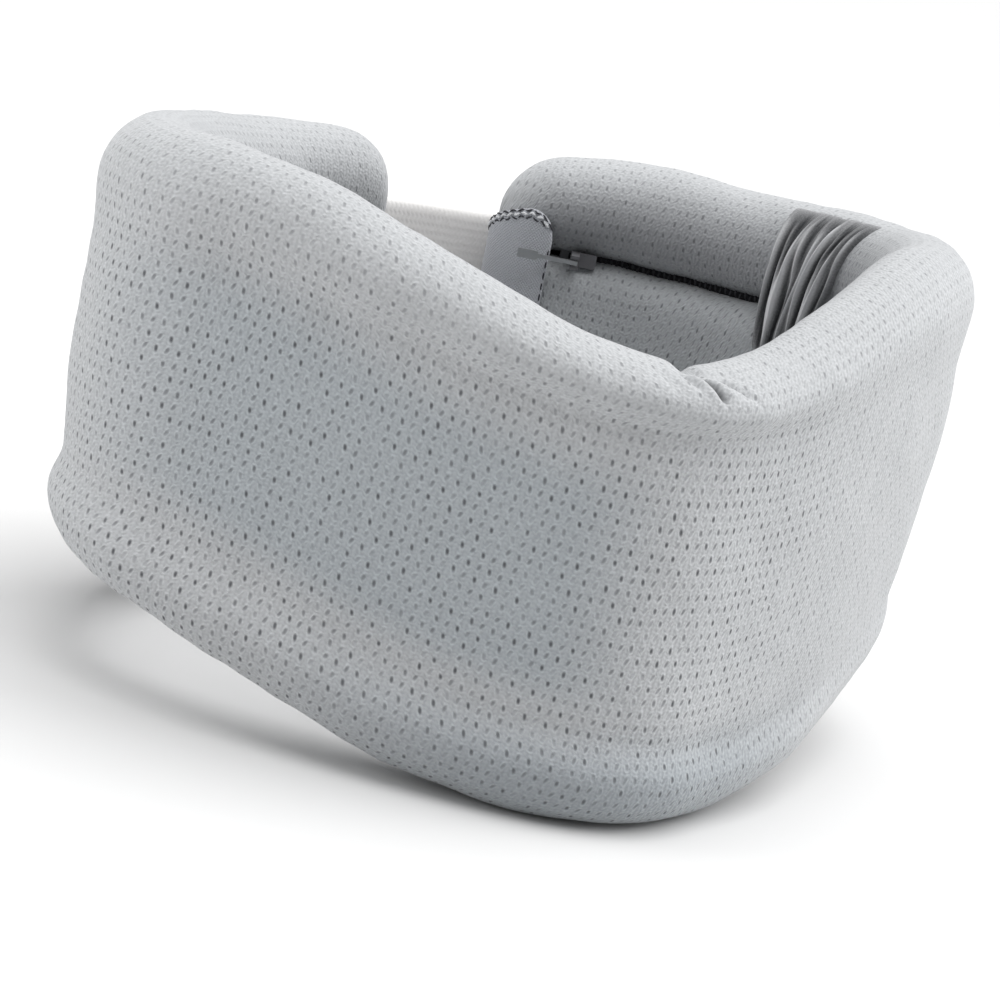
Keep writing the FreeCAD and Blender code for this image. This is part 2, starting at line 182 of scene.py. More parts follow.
def outer_waist(s):
    """Offset of the outer wall between the rolls."""
    return mix(FRONT_WAIST, BACK_WAIST, np.abs(s) / ARM_END)


# ---------------------------------------------------------------- the band's surface

# Rows round one section, counted from the groove's upper lip over the top to the lower lip
UNDER, OVER_IN, OVER_OUT, WALL, TURN_OUT, TURN_IN, HEM, PILLOW = 6, 9, 9, 36, 8, 8, 3, 26
RIDGE = UNDER + OVER_IN                    # row of the top ridge
FLOOR = RIDGE + OVER_OUT + WALL + TURN_OUT
SEAM = FLOOR + TURN_IN + HEM               # row where the cover meets the lining
CAP = 8                                    # columns round each arm's end
COLUMNS = 210                              # columns between the two rounded ends
CROWDING, CROWD_REACH = 2.4, 12            # they stand closer together round the chin notch


def stations(fine):
    """s, and the angle through the rounded end, of every column."""
    even = np.linspace(-ROUND_START, ROUND_START, 4001)
    crowd = np.cumsum(1 + CROWDING * np.exp(-((even / CROWD_REACH) ** 2)))
    straight = np.interp(np.linspace(crowd[0], crowd[-1], COLUMNS * fine + 1), crowd, even)
    angle = np.linspace(0, math.pi / 2, CAP * fine + 1)[1:]
    tail = ROUND_START + END_ROUND * np.sin(angle)
    s = np.concatenate([-tail[::-1], straight, tail])
    phi = np.concatenate([angle[::-1], np.zeros(len(straight)), angle])
    return s, phi


def section(s, phi, fine):
    """n and z of every row on the section at s."""
    k = math.cos(phi)
    shrink = 1 - k
    high = float(top(s)) - END_ROUND * shrink
    low = float(bottom(s)) + 0.7 * END_ROUND * shrink
    slit = float(groove(s)) - 0.6 * END_ROUND * shrink
    half = HALF_THICK
    tall, middle = (high - slit) / 2, (high + slit) / 2
    waist = float(outer_waist(s))
    along = abs(s)

    def turn(a0, a1, count, centre, tall_here):
        a = np.radians(np.linspace(a0, a1, count * fine + 1)[1:])
        return half * np.cos(a), centre + tall_here * np.sin(a)

    lip = math.radians(LIP_ANGLE)
    rows = [(np.array([half * math.cos(lip)]), np.array([middle + tall * math.sin(lip)]))]
    rows.append(turn(LIP_ANGLE, 180, UNDER, middle, tall))
    rows.append(turn(180, 90, OVER_IN, middle, tall))
    # outside of the top roll: thin at the chin, fuller over the shoulders
    crease = float(mix(CREASE_FRONT, CREASE_SIDE, along / 100))
    round_out = 0.52 * crease
    rows.append(turn(90, 0, OVER_OUT, high - round_out, round_out))
    # the wall: out of the roll, over the panel and out to the bottom roll
    roll = low + BOTTOM_ROLL / 2
    z0, z3 = high - round_out, roll
    z1 = high - crease
    # the lower crease stands higher on the left of the chin than on its right
    z2 = low + 16.5 - 3.5 * math.tanh(s / 40) * math.exp(-((s / 110) ** 2))
    z = np.linspace(z0, z3, WALL * fine + 1)[1:]
    # the creases run from the left side to the chin and die out towards both corners
    plain_top = float(ease((s - 6) / 24) if s > 0 else ease((along - 70) / 30))
    plain_low = float(ease((s - 30) / 40) if s > 0 else 0.35 * ease((along - 80) / 30))
    n_top = waist - SINK_TOP + (FULL_WALL - waist + SINK_TOP) * plain_top
    n_low = waist - SINK_LOW + (FULL_WALL - waist + SINK_LOW) * plain_low
    panel = n_top + (n_low - n_top) * (z1 - z) / (z1 - z2)
    panel = panel + PANEL_CROWN * np.sin(np.pi * np.clip((z1 - z) / (z1 - z2), 0, 1)) ** 0.8
    up = 0.5 + 0.5 * np.cos(np.pi * np.clip((z0 - z) / (z0 - z1), 0, 1))
    down = 0.5 - 0.5 * np.cos(np.pi * np.clip((z2 - z) / (z2 - z3), 0, 1))
    n = np.where(z > z1, n_top + (half - n_top) * up, panel)
    n = np.where(z < z2, n_low + (half - n_low) * down, n)
    # the right side draws in towards its lower edge
    taper = RIGHT_TAPER * float(ease((s - 35) / 40) * ease((125 - s) / 25))
    sink = ease((z1 - z) / (z1 - z3))
    rows.append((n - taper * sink, z))
    n, z = turn(0, -90, TURN_OUT, roll, BOTTOM_ROLL / 2)
    rows.append((n * (1 - taper / half), z))
    rows.append(turn(-90, -180, TURN_IN, roll, BOTTOM_ROLL / 2))
    # hem: up to the seam, which is drawn in
    seam_z = low + BOTTOM_ROLL - SEAM_DROP
    t = np.linspace(0, 1, HEM * fine + 1)[1:]
    rows.append((-half + (half - SEAM_IN) * t ** 2, roll + (seam_z - roll) * t))
    # pillow: bulges out of the seam and rounds over into the groove
    round_z = slit - LIP_DROP - PILLOW_ROUND
    t = np.linspace(0, 1, PILLOW * fine + 1)[1:]
    share = 0.76
    flat = np.clip(t / share, 0, 1)
    z = seam_z + (round_z - seam_z) * flat
    full = INNER_WAIST + 0.1
    n = -(SEAM_IN + (full - SEAM_IN) * np.minimum(1, (z - seam_z) / 5.0) ** 0.5)
    a = np.clip((t - share) / (1 - share), 0, 1) * math.pi / 2
    over = t > share
    n = np.where(over, -3.0 - (full - 3.0) * np.cos(a) ** 0.7, n)
    z = np.where(over, round_z + PILLOW_ROUND * np.sin(a) ** 0.85, z)
    rows.append((n, z))
    n = np.concatenate([r[0] for r in rows]) * k
    z = np.concatenate([r[1] for r in rows])
    return n, z


class Band:
    """The band's surface as a grid of columns (along s) and rows (round the section)."""

    def __init__(self, fine):
        self.fine = fine
        self.s, self.phi = stations(fine)
        n, z = zip(*(section(s, phi, fine) for s, phi in zip(self.s, self.phi)))
        self.n, self.z = np.array(n), np.array(z)
        self.columns, self.rows = self.n.shape
        self.points = place(self.s[:, None], self.n, self.z)
        flat = np.stack([self.n, self.z], axis=-1)
        step = np.linalg.norm(np.diff(flat, axis=1), axis=-1)
        length = np.concatenate([np.zeros((self.columns, 1)), np.cumsum(step, axis=1)], axis=1)
        ridge = RIDGE * fine
        self.v = length - length[:, ridge:ridge + 1]
        # the last columns are a line each, so they take the distance of their neighbours
        for end, before in ((0, 1), (-1, -2)):
            self.v[end] = self.v[before]

    def normals(self):
        along = np.gradient(self.points, axis=0)
        across = np.gradient(self.points, axis=1)
        n = np.cross(across, along)
        return n / np.maximum(np.linalg.norm(n, axis=-1, keepdims=True), 1e-9)


def resample(coarse, fine_shape):
    """A coarse grid of vectors spread onto a finer one whose corners match."""
    out = coarse
    for axis in (0, 1):
        count = fine_shape[axis]
        at = np.linspace(0, out.shape[axis] - 1, count)
        i = np.clip(at.astype(int), 0, out.shape[axis] - 2)
        f = (at - i).reshape([-1 if k == axis else 1 for k in range(3)])
        f = f * f * (3 - 2 * f)
        out = np.take(out, i, axis) * (1 - f) + np.take(out, i + 1, axis) * f
    return out


def add_object(name, data):
    """A new object with that data, linked into the scene."""
    obj = bpy.data.objects.new(name, data)
    bpy.context.scene.collection.objects.link(obj)
    return obj


def grid_faces(columns, rows):
    """Quads of a grid whose points are numbered column by column."""
    c, r = np.meshgrid(np.arange(columns - 1), np.arange(rows - 1), indexing="ij")
    a = c * rows + r
    return np.stack([a, a + 1, a + rows + 1, a + rows], axis=-1).reshape(-1, 4)


def mesh_from_grid(name, points, u, v, extra=None, hold=None):
    """A smooth mesh from a grid in mm, with a UV map in metres and point attributes."""
    columns, rows = points.shape[:2]
    faces = grid_faces(columns, rows)
    mesh = bpy.data.meshes.new(name)
    mesh.from_pydata((points.reshape(-1, 3) * MM).tolist(), [], faces.tolist())
    uv = mesh.uv_layers.new(name="UVMap")
    flat = np.stack([u.reshape(-1), v.reshape(-1)], axis=-1) * MM
    loops = faces.reshape(-1)
    uv.data.foreach_set("uv", flat[loops].astype(np.float32).ravel())
    for key, values in (extra or {}).items():
        attribute = mesh.attributes.new(key, "FLOAT", "POINT")
        attribute.data.foreach_set("value", values.reshape(-1).astype(np.float32))
    mesh.shade_smooth()
    if hold is not None:
        mesh.normals_split_custom_set_from_vertices(hold.reshape(-1, 3).tolist())
    return add_object(name, mesh)


# ---------------------------------------------------------------- folds

def fold(along, across, length, width, depth):
    """A furrow of that depth along its own axis, fading at both ends."""
    fade = ease((length / 2 - np.abs(along)) / (0.35 * length))
    return -depth * fade * np.exp(-((across / width) ** 2))


def turned(s, v, s0, v0, degrees):
    """Coordinates along and across a line through (s0, v0)."""
    a = math.radians(degrees)
    ds, dv = s - s0, v - v0
    return ds * math.cos(a) + dv * math.sin(a), -ds * math.sin(a) + dv * math.cos(a)


def displacement(s, v):
    """Height in millimetres of folds and creases above the plain band."""
    # the chin notch: the two rolls meet in a sharp V, with one deep slit running out of it
    inner = ease((5.5 - v) / 5.0) * ease((v + 20.0) / 10.0)
    h = -1.9 * inner * np.exp(-((s / 2.0) ** 2))
    h += 0.35 * inner * np.exp(-(((s - 7.5) / 4.0) ** 2))
    for s0, v0, degrees, length, width, depth in NOTCH_FOLDS:
        a, b = turned(s, v, s0, v0, degrees)
        h += fold(a, b, length, width, depth)
    # the top roll is fullest near the right arm's end
    h += 2.0 * np.exp(-(((s - 166) / 15) ** 2)) * np.exp(-((v / 13) ** 2))
    return h


def notch_painted_shade(s, v):
    """Painted shade: 1 along the bottom of the notch's slit and of its V, 0 elsewhere."""
    dark = np.zeros_like(s)
    for s0, v0, degrees, length, width, depth in NOTCH_SHADES:
        a, b = turned(s, v, s0, v0, degrees)
        dark += -fold(a, b, length, width, depth)
    return np.clip(dark, 0, 1)


# Folds at the chin notch, and the painted shade lines down in the deepest of them:
# middle (s, v), direction in degrees, length, width, depth
NOTCH_FOLDS = (
    (1.6, 7.2, 72, 8.5, 0.40, 1.5), (0.1, 6.4, 68, 11.0, 0.85, -0.55), (-1.5, 5.2, 62, 9.0, 0.6, 0.8),
    (3.0, 7.0, 64, 8.0, 0.6, -0.4), (4.0, 5.4, 40, 6.5, 0.45, 0.6), (5.2, 7.4, 52, 6.5, 0.45, 0.5),
    (5.0, 3.4, 22, 6.0, 0.6, 0.4), (6.8, 9.6, 58, 6.0, 0.6, 0.3), (-4.0, 7.4, 58, 7.0, 0.9, 0.3),
)
NOTCH_SHADES = (
    (1.6, 7.2, 72, 8.0, 0.42, 1.0), (-0.8, 3.0, 60, 7.0, 0.28, 0.5),
    (4.0, 5.4, 40, 5.0, 0.20, 0.5), (5.2, 7.4, 52, 5.0, 0.18, 0.5),
)


def soft_noise(s, v, rng, scale):
    """Smooth, repeatable unevenness: a sum of random waves."""
    count = 26
    out = np.zeros_like(s)
    for _ in range(count):
        angle, phase = rng.uniform(0, 2 * math.pi, 2)
        k = rng.uniform(0.6, 1.6) * 2 * math.pi / scale
        out += np.sin(k * (s * math.cos(angle) + v * math.sin(angle)) + phase)
    return out / math.sqrt(count)


# ---------------------------------------------------------------- materials

class Nodes:
    """Builds one material's node tree."""

    def __init__(self, name):
        self.material = bpy.data.materials.new(name)
        self.material.use_nodes = True
        self.tree = self.material.node_tree
        self.bsdf = self.tree.nodes["Principled BSDF"]

    def add(self, kind, **values):
        node = self.tree.nodes.new(kind)
        for key, value in values.items():
            setattr(node, key, value)
        return node

    def link(self, a, b):
        self.tree.links.new(a, b)

    def put(self, socket, value):
        if isinstance(value, bpy.types.NodeSocket):
            self.link(value, socket)
        else:
            socket.default_value = value

    def math(self, operation, *inputs):
        node = self.add("ShaderNodeMath", operation=operation)
        for socket, value in zip(node.inputs, inputs):
            self.put(socket, value)
        return node.outputs[0]

    def smooth(self, value, low, high):
        node = self.add("ShaderNodeMapRange", interpolation_type="SMOOTHSTEP")
        self.put(node.inputs["Value"], value)
        node.inputs["From Min"].default_value = low
        node.inputs["From Max"].default_value = high
        return node.outputs["Result"]

    def noise(self, vector, scale, detail=2.0, roughness=0.5):
        node = self.add("ShaderNodeTexNoise")
        self.link(vector, node.inputs["Vector"])
        node.inputs["Scale"].default_value = scale
        node.inputs["Detail"].default_value = detail
        node.inputs["Roughness"].default_value = roughness
        return node.outputs[0]

    def colour(self, factor, a, b):
        node = self.add("ShaderNodeMix", data_type="RGBA")
        self.put(node.inputs["Factor"], factor)
        self.put(node.inputs[6], a if isinstance(a, bpy.types.NodeSocket) else (*a, 1.0))
        self.put(node.inputs[7], b if isinstance(b, bpy.types.NodeSocket) else (*b, 1.0))
        return node.outputs[2]

    def uv(self):
        node = self.add("ShaderNodeTexCoord")
        split = self.add("ShaderNodeSeparateXYZ")
        self.link(node.outputs["UV"], split.inputs[0])
        return node.outputs["UV"], split.outputs[0], split.outputs[1]

    def attribute(self, name):
        return self.add("ShaderNodeAttribute", attribute_name=name).outputs["Fac"]

    def bump(self, height, distance, strength=1.0):
        node = self.add("ShaderNodeBump")
        node.inputs["Strength"].default_value = strength
        node.inputs["Distance"].default_value = distance
        self.link(height, node.inputs["Height"])
        self.link(node.outputs[0], self.bsdf.inputs["Normal"])

    def finish(self, colour, roughness, specular, sheen=0.0, metallic=0.0):
        self.put(self.bsdf.inputs["Base Color"], colour)
        self.put(self.bsdf.inputs["Roughness"], roughness)
        self.bsdf.inputs["Specular IOR Level"].default_value = specular
        self.bsdf.inputs["Metallic"].default_value = metallic
        if sheen:
            self.bsdf.inputs["Sheen Weight"].default_value = sheen
            self.bsdf.inputs["Sheen Roughness"].default_value = 0.45
        return self.material


# Eyelets of the knit: pitch along and down the fabric, and half sizes, in millimetres
EYELET_PITCH, EYELET_STEP, EYELET_LEAN = 1.79, 2.29, 0.115
EYELET_HALF_WIDE, EYELET_HALF_TALL = 0.25, 0.47


def mesh_knit(name, light, dark, hole):
    """Spacer knit: oblong eyelets in leaning columns, deeper and shallower ones in turn like a
    chequerboard. UVs are in metres: along the band, and down from its top edge."""
    m = Nodes(name)
    uv, u, v = m.uv()
    sway = m.math("MULTIPLY", m.math("SUBTRACT", m.noise(uv, 60.0, 1.0), 0.5), 0.0008)
    shift = m.math("MULTIPLY", m.math("SUBTRACT", m.noise(uv, 500.0, 1.0), 0.5), 0.0007)
    u = m.math("ADD", u, sway)
    v = m.math("ADD", v, m.math("ADD", sway, shift))
    lean = m.math("MULTIPLY", v, EYELET_LEAN)
    a = m.math("DIVIDE", m.math("ADD", u, lean), EYELET_PITCH * MM)
    b = m.math("DIVIDE", v, EYELET_STEP * MM)
    column, step = (m.math("FLOOR", m.math("ADD", x, 0.5)) for x in (a, b))
    fa, fb = m.math("SUBTRACT", a, column), m.math("SUBTRACT", b, step)
    shallow = m.math("FLOORED_MODULO", m.math("ADD", column, step), 2.0)
    # offset from the eyelet's middle, in millimetres
    dv = m.math("MULTIPLY", fb, EYELET_STEP)
    du = m.math("SUBTRACT", m.math("MULTIPLY", fa, EYELET_PITCH),
                m.math("MULTIPLY", dv, EYELET_LEAN))
    du = m.math("ADD", du, m.math("MULTIPLY", m.math("MULTIPLY", dv, shallow), 0.35))
    cell = m.add("ShaderNodeCombineXYZ")
    m.link(column, cell.inputs[0])
    m.link(step, cell.inputs[1])
    chance = m.add("ShaderNodeTexWhiteNoise", noise_dimensions="2D")
    m.link(cell.outputs[0], chance.inputs["Vector"])
    varied = m.smooth(chance.outputs["Value"], -0.45, 0.80)
    depth = m.math("MULTIPLY", varied, m.math("SUBTRACT", 1.0, m.math("MULTIPLY", shallow, 0.35)))
    across, tall = (m.math("DIVIDE", x, half) for x, half in
                    ((du, EYELET_HALF_WIDE), (dv, EYELET_HALF_TALL)))
    d = m.math("SQRT", m.math("ADD", m.math("MULTIPLY", across, across),
                              m.math("MULTIPLY", tall, tall)))
    mask = m.math("MULTIPLY", m.smooth(d, 1.55, 0.35), depth)
    clear = m.math("SUBTRACT", 1.0, m.attribute("faint"))
    mask = m.math("MULTIPLY", mask, clear)
    fibres = m.noise(uv, 2600.0, 2.0, 0.6)
    tufts = m.noise(uv, 1000.0, 2.0, 0.55)
    rim = m.math("MULTIPLY", m.smooth(d, 3.0, 1.7), m.smooth(d, 1.1, 1.8))
    rim = m.math("MULTIPLY", m.math("MULTIPLY", rim, m.smooth(tufts, 0.30, 0.60)), clear)
    # ribs of knitted loops between the columns of eyelets
    rib = m.math("COSINE", m.math("MULTIPLY", fa, 2 * TURN))
    rib = m.math("ADD", m.math("MULTIPLY", rib, 0.5), 0.5)
    loops = m.math("SINE", m.math("ADD", m.math("MULTIPLY", b, 3 * TURN),
                                  m.math("MULTIPLY", m.math("ABSOLUTE", fa), 9.0)))
    height = m.math("SUBTRACT", 0.6, m.math("MULTIPLY", mask, 0.7))
    for part, amount in ((rib, 0.14), (rim, 0.16), (loops, 0.04), (fibres, 0.14), (tufts, 0.22)):
        height = m.math("ADD", height, m.math("MULTIPLY", part, amount))
    m.bump(height, 0.0005, 0.8)
    patchy = m.noise(uv, 22.0, 3.0)
    tone = 0.45
    for part, middle, amount in ((patchy, 0.5, 0.14), (rib, 0.5, 0.22), (rim, 0.15, 0.42),
                                 (loops, 0.0, 0.10), (tufts, 0.5, 0.75), (fibres, 0.5, 0.30)):
        part = m.math("MULTIPLY", m.math("SUBTRACT", part, middle), amount)
        tone = m.math("ADD", part, tone)
    base = m.colour(tone, tuple(c * 0.82 for c in light), tuple(min(1.0, c * 1.18) for c in light))
    # painted shade: the inner face's darker colour
    inner = m.colour(tone, tuple(c * 0.86 for c in dark), tuple(c * 1.14 for c in dark))
    base = m.colour(m.attribute("inner_painted_shade"), base, inner)
    # painted shade: the front panel is coloured a little darker and cooler, and deep folds darker
    # still
    panel = m.add("ShaderNodeMix", data_type="RGBA", blend_type="MULTIPLY")
    m.link(m.attribute("panel"), panel.inputs["Factor"])
    m.link(base, panel.inputs[6])
    panel.inputs[7].default_value = (0.81, 0.85, 0.87, 1.0)
    base = m.colour(m.math("MULTIPLY", mask, 0.92), panel.outputs[2], hole)
    # painted shade: the bottom of the notch's slit and V is coloured darker still
    base = m.colour(m.attribute("crease"), base, tuple(c * 0.5 for c in hole))
    return m.finish(base, 0.86, sheen=0.25, specular=0.25)


def gathered_knit(name, light, dark):
    """Fine smooth knit of the gathered fabric, with painted shade down in its folds."""
    m = Nodes(name)
    uv, u, _ = m.uv()
    wale = m.math("SINE", m.math("MULTIPLY", u, TURN / 0.0008))
    fibres = m.noise(uv, 2600.0, 2.0, 0.6)
    height = m.math("ADD", m.math("MULTIPLY", wale, 0.25), m.math("MULTIPLY", fibres, 0.4))
    m.bump(height, 0.00015, 0.7)
    # painted shade: the colour runs from dark in the folds' valleys to light on their ridges
    tone = m.math("ADD", m.attribute("raised"),
                  m.math("MULTIPLY", m.math("SUBTRACT", fibres, 0.5), 0.25))
    return m.finish(m.colour(m.smooth(tone, 0.0, 1.0), dark, light), 0.85, sheen=0.15,
                    specular=0.2)


def webbing(name, light, dark):
    """Soft elastic strap: cords along its length, crossed by fine yarn; painted shade makes
    its outer face a little darker than its inner one."""
    m = Nodes(name)
    uv, u, v = m.uv()
    cord = m.math("SINE", m.math("MULTIPLY", v, TURN / 0.0016))
    weft = m.math("SINE", m.math("ADD", m.math("MULTIPLY", u, TURN / 0.0008),
                                 m.math("MULTIPLY", cord, 1.2)))
    fibres = m.noise(uv, 2500.0, 2.0, 0.6)
    height = m.math("ADD", m.math("MULTIPLY", cord, 0.16), m.math("MULTIPLY", weft, 0.14))
    height = m.math("ADD", height, m.math("MULTIPLY", fibres, 0.3))
    m.bump(height, 0.00014, 0.7)
    patchy = m.noise(uv, 30.0, 3.0)
    tone = m.math("ADD", m.math("MULTIPLY", patchy, 0.6), m.math("MULTIPLY", fibres, 0.35))
    tone = m.math("ADD", tone, m.math("MULTIPLY", cord, 0.05))
    inner = m.colour(tone, dark, light)
    # painted shade: the outer face takes darker copies of the strap's colours
    outer = m.colour(tone, *(tuple(c * 0.76 for c in shade) for shade in (dark, light)))
    return m.finish(m.colour(m.attribute("outer"), inner, outer), 0.85, sheen=0.2, specular=0.2)


def plain_weave(name, light, dark, pitch=0.0007):
    """Tight plain weave, for the end tab."""
    m = Nodes(name)
    uv, u, v = m.uv()
    warp = m.math("SINE", m.math("MULTIPLY", u, TURN / pitch))
    weft = m.math("SINE", m.math("MULTIPLY", v, TURN / pitch))
    cross = m.math("MULTIPLY", warp, weft)
    fibres = m.noise(uv, 2500.0, 2.0, 0.6)
    height = m.math("ADD", m.math("MULTIPLY", cross, 0.4), m.math("MULTIPLY", fibres, 0.4))
    m.bump(height, 0.00018, 0.8)
    patchy = m.noise(uv, 45.0, 3.0)
    tone = m.math("ADD", m.math("MULTIPLY", patchy, 0.6), m.math("MULTIPLY", fibres, 0.35))
    return m.finish(m.colour(tone, dark, light), 0.88, sheen=0.15, specular=0.2)


def fuzz(name, light, dark, scale, distance):
    """Loop pile or hook field: dense small tufts."""
    m = Nodes(name)
    uv = m.uv()[0]
    cells = m.add("ShaderNodeTexVoronoi")
    m.link(uv, cells.inputs["Vector"])
    cells.inputs["Scale"].default_value = scale
    fibres = m.noise(uv, scale * 1.7, 3.0, 0.7)
    height = m.math("ADD", m.math("MULTIPLY", cells.outputs["Distance"], -1.0), fibres)
    m.bump(height, distance, 0.9)
    tone = m.math("ADD", m.math("MULTIPLY", fibres, 0.8),
                  m.math("MULTIPLY", cells.outputs["Distance"], -0.3))
    return m.finish(m.colour(m.smooth(tone, 0.1, 0.6), dark, light), 0.9, sheen=0.2,
                    specular=0.2)


def solid(name, light, dark, roughness, scale, distance, metallic=0.0):
    """Moulded or cast surface with fine grain and slight wear. Reads object coordinates."""
    m = Nodes(name)
    where = m.add("ShaderNodeTexCoord").outputs["Object"]
    grain = m.noise(where, scale, 3.0, 0.6)
    worn = m.noise(where, scale * 0.08, 3.0)
    m.bump(grain, distance, 0.5)
    rough = m.math("ADD", roughness, m.math("MULTIPLY", worn, 0.15))
    return m.finish(m.colour(worn, dark, light), rough, specular=0.4, metallic=metallic)


# the cover's second colour is painted shade for the inner face of its top roll
COVER = mesh_knit("cover_knit", (0.42, 0.43, 0.442), (0.30, 0.307, 0.32), (0.07, 0.073, 0.08))
LINING = mesh_knit("lining_knit", (0.40, 0.415, 0.43), (0.40, 0.415, 0.43), (0.06, 0.063, 0.07))
# the gusset's dark colour is painted shade for the valleys of its folds
GUSSET = gathered_knit("gusset_knit", (0.64, 0.645, 0.66), (0.03, 0.032, 0.035))
STRAP = webbing("strap_elastic", (0.87, 0.855, 0.845), (0.78, 0.765, 0.755))
TAB = plain_weave("tab_fabric", (0.50, 0.515, 0.55), (0.38, 0.39, 0.42))
HOOK = fuzz("hook_tape", (0.68, 0.67, 0.65), (0.42, 0.41, 0.40), 1300.0, 0.0004)
LOOP = fuzz("loop_pile", (0.62, 0.62, 0.62), (0.36, 0.36, 0.37), 900.0, 0.0006)
THREAD = solid("thread_light", (0.75, 0.76, 0.78), (0.60, 0.61, 0.63), 0.6, 3000.0, 0.0001)
THREAD_DARK = solid("thread_dark", (0.06, 0.06, 0.07), (0.03, 0.03, 0.035), 0.6, 3000.0, 0.0001)
TAPE = plain_weave("zip_tape", (0.06, 0.06, 0.065), (0.02, 0.02, 0.022), 0.0008)
COIL = solid("zip_coil", (0.045, 0.045, 0.05), (0.025, 0.025, 0.03), 0.45, 2000.0, 0.00005)
METAL = solid("zip_metal", (0.50, 0.51, 0.52), (0.38, 0.39, 0.40), 0.32, 1500.0, 0.00004,
              metallic=0.9)
DARK_METAL = solid("zip_slider_enamel", (0.14, 0.14, 0.15), (0.08, 0.08, 0.085), 0.4, 1500.0,
                   0.00004)
RUBBER = solid("tip_rubber", (0.50, 0.51, 0.53), (0.38, 0.39, 0.41), 0.55, 1800.0, 0.0001)


# ---------------------------------------------------------------- cover and lining

SETTLE_FRAMES, SETTLE_PRESSURE, SETTLE_LIMIT = 16, 3.0, 1.2
LOOSE = 0.12                               # pin weight of a point that isn't sewn down


def simulate(band):
    """Lets the covers swell and settle over the foam: returns each point's movement in mm."""
    obj = mesh_from_grid("settling", band.points, band.v, band.v)
    at_rest = band.points.reshape(-1, 3)
    row = np.tile(np.arange(band.rows), band.columns)
    col = np.repeat(np.arange(band.columns), band.rows)
    group = obj.vertex_groups.new(name="pin")
    weight = np.full(len(at_rest), LOOSE)
    held = (row <= 1) | (row >= band.rows - 2) | (np.abs(row - SEAM) < 1)
    held |= (col <= 1) | (col >= band.columns - 2)
    weight[held] = 1.0
    for w in (LOOSE, 1.0):
        group.add([int(i) for i in np.nonzero(weight == w)[0]], w, "REPLACE")
    cloth = obj.modifiers.new("cloth", "CLOTH")
    fabric = cloth.settings
    fabric.quality = 5
    fabric.mass = 0.3
    fabric.tension_stiffness = fabric.compression_stiffness = 25
    fabric.shear_stiffness = 12
    fabric.bending_stiffness = 4.0
    fabric.use_pressure = True
    fabric.uniform_pressure_force = SETTLE_PRESSURE
    fabric.vertex_group_mass = "pin"
    fabric.pin_stiffness = 1.2
    fabric.effector_weights.gravity = 0
    fabric.shrink_min = 0.004
    cloth.collision_settings.use_collision = False
    cloth.point_cache.frame_start, cloth.point_cache.frame_end = 1, SETTLE_FRAMES
    scene = bpy.context.scene
    for f in range(1, SETTLE_FRAMES + 1):
        scene.frame_set(f)
    graph = bpy.context.evaluated_depsgraph_get()
    shaped = obj.evaluated_get(graph)
    out = np.zeros(len(at_rest) * 3, np.float32)
    shaped.data.vertices.foreach_get("co", out)
    scene.frame_set(1)
    bpy.data.objects.remove(obj)
    move = out.reshape(-1, 3).astype(float) / MM - at_rest
    size = np.linalg.norm(move, axis=1, keepdims=True)
    move *= np.where(size > SETTLE_LIMIT, SETTLE_LIMIT / np.maximum(size, 1e-9), 1.0)
    print("settled: mean", round(float(size.mean()), 3), "largest", round(float(size.max()), 3))
    return move.reshape(band.points.shape)


FINE = 2
band = Band(FINE)
rng = np.random.default_rng(7)
settled = simulate(Band(1))
band.points = band.points + resample(settled, band.points.shape)
S = np.broadcast_to(band.s[:, None], band.v.shape)
normals = band.normals()
height = displacement(S, band.v)
height = height + 0.16 * soft_noise(S, band.v, rng, 26) + 0.05 * soft_noise(S, band.v, rng, 9)
fade = np.clip((ARM_END - np.abs(S)) / 6, 0, 1)
band.points = band.points + normals * (height * fade)[..., None]
band.points[..., 2] = np.maximum(band.points[..., 2], 0.0)

# Painted shade: 0 on the outside, rising to 1 down the inner face of the top roll, less on the left
# arm
inner_painted_shade = ease((-band.v - 2.0) / 16.0) * np.where(S > 0, 1.0, 0.35)
inner_painted_shade = np.maximum(inner_painted_shade, ease((band.v - band.v[:, [FLOOR * FINE]] - 2) / 12.0))
crease = notch_painted_shade(S, band.v)
down = (top(S) - band.points[..., 2]) / (top(S) - bottom(S))
# Painted shade: 1 over the front panel, which is coloured a little darker and cooler
panel = ease((S + 108) / 40) * ease((2 - S) / 16) * ease((band.v - 4) / 6)
panel = panel * ease((down - 0.16) / 0.16) * ease((0.78 - down) / 0.12)
# and painted shade on the fabric low down at the chin too
chin_painted_shade = ease((S + 70) / 60) * ease((55 - S) / 45) * ease((down - 0.74) / 0.14)
panel = np.maximum(panel, chin_painted_shade * ease((band.v - 4) / 6))
# the chin's painted shade also blends it towards the inner face's darker colour
inner_painted_shade = np.maximum(inner_painted_shade, 0.40 * chin_painted_shade)
# the eyelets show most on the front panel, and close up over the rolls and the sides
crisp = ease((down + 0.02) / 0.30) * ease((S + 135) / 45) * ease((50 - S) / 36)
faint = 0.50 * (1 - crisp) * (1 - inner_painted_shade) + 0.35 * inner_painted_shade
mid = band.columns // 2
seam = SEAM * FINE
smooth = band.normals()
# both halves share their normals along the front centre, so that no seam shows there
keep = np.zeros_like(smooth)
keep[mid] = smooth[mid]
bodies = {"left": slice(0, mid + 1), "right": slice(mid, band.columns)}
# distance along the fabric: longer on the outside of the chin's tight bend than on the inside
bend = np.arccos(np.clip(-plan(band.s)[3], -1, 1))
bend = np.sign(band.s) * np.minimum(bend, math.radians(NOSE_TURN))
bend = bend * (1 - 0.8 * ease((np.abs(band.s) - 14) / 80))
U = S + 0.9 * band.n * bend[:, None]

